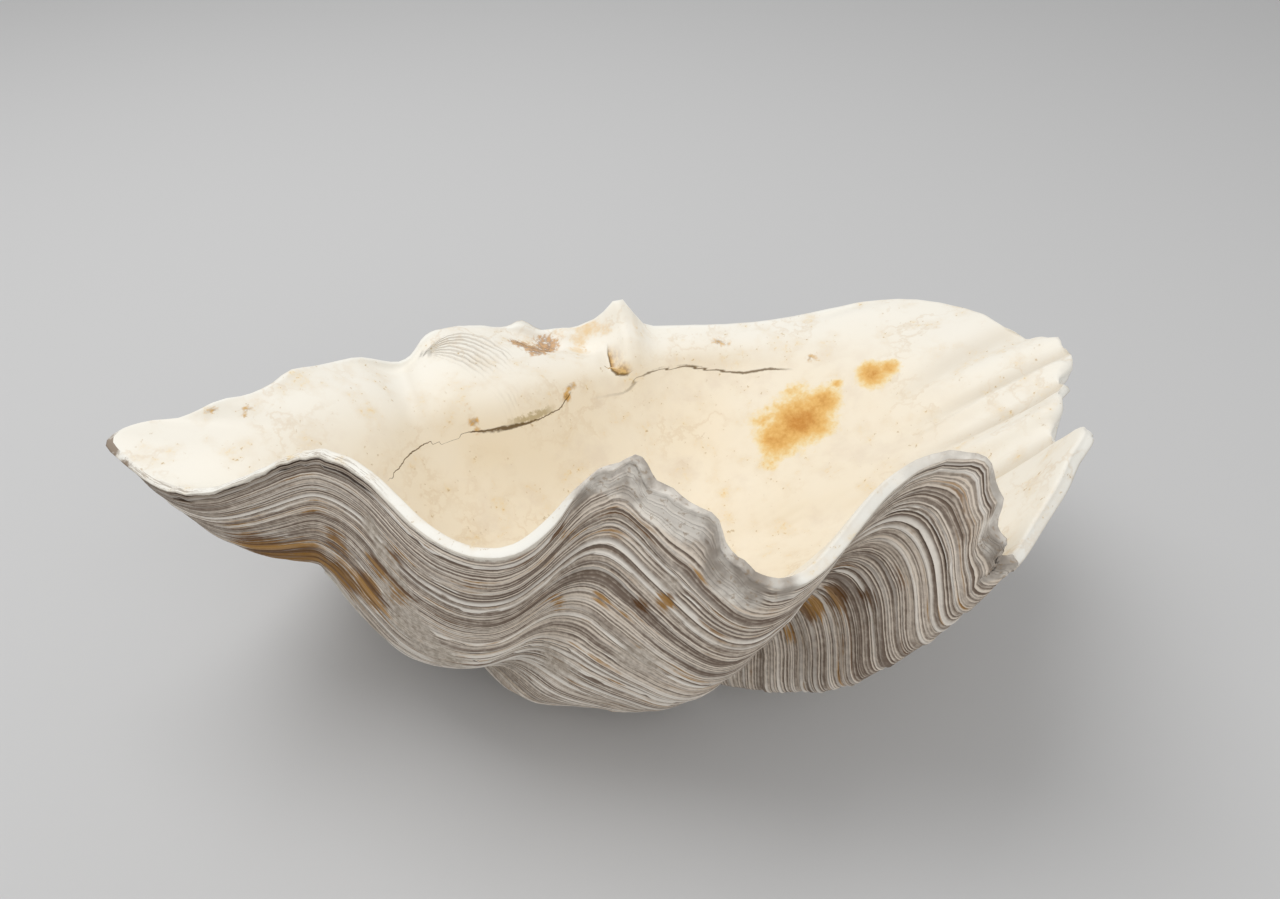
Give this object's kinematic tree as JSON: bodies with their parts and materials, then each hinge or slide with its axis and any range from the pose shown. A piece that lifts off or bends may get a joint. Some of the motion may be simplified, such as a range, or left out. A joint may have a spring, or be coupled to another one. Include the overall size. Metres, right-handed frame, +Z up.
{
  "type": "giant clam shell",
  "caption": "Giant clam valve lying bowl up, with a wavy folded margin, a spouted end, a toothed hinge plate and broad ribs crossed by growth lines.",
  "frame": {"origin": "middle of the bounding box at the bottom, on the surface that the shell rests on", "axes": "+X along the hinge towards the end with the small ribs, +Y towards the hinge, +Z up out of the bowl; metres"},
  "size_m": [0.4306, 0.254, 0.1704],
  "materials": {
    "shell_white": "chalky, satin inside"
  },
  "bodies": {
    "root": {"shell": "shell_white"}
  },
  "joints": []
}
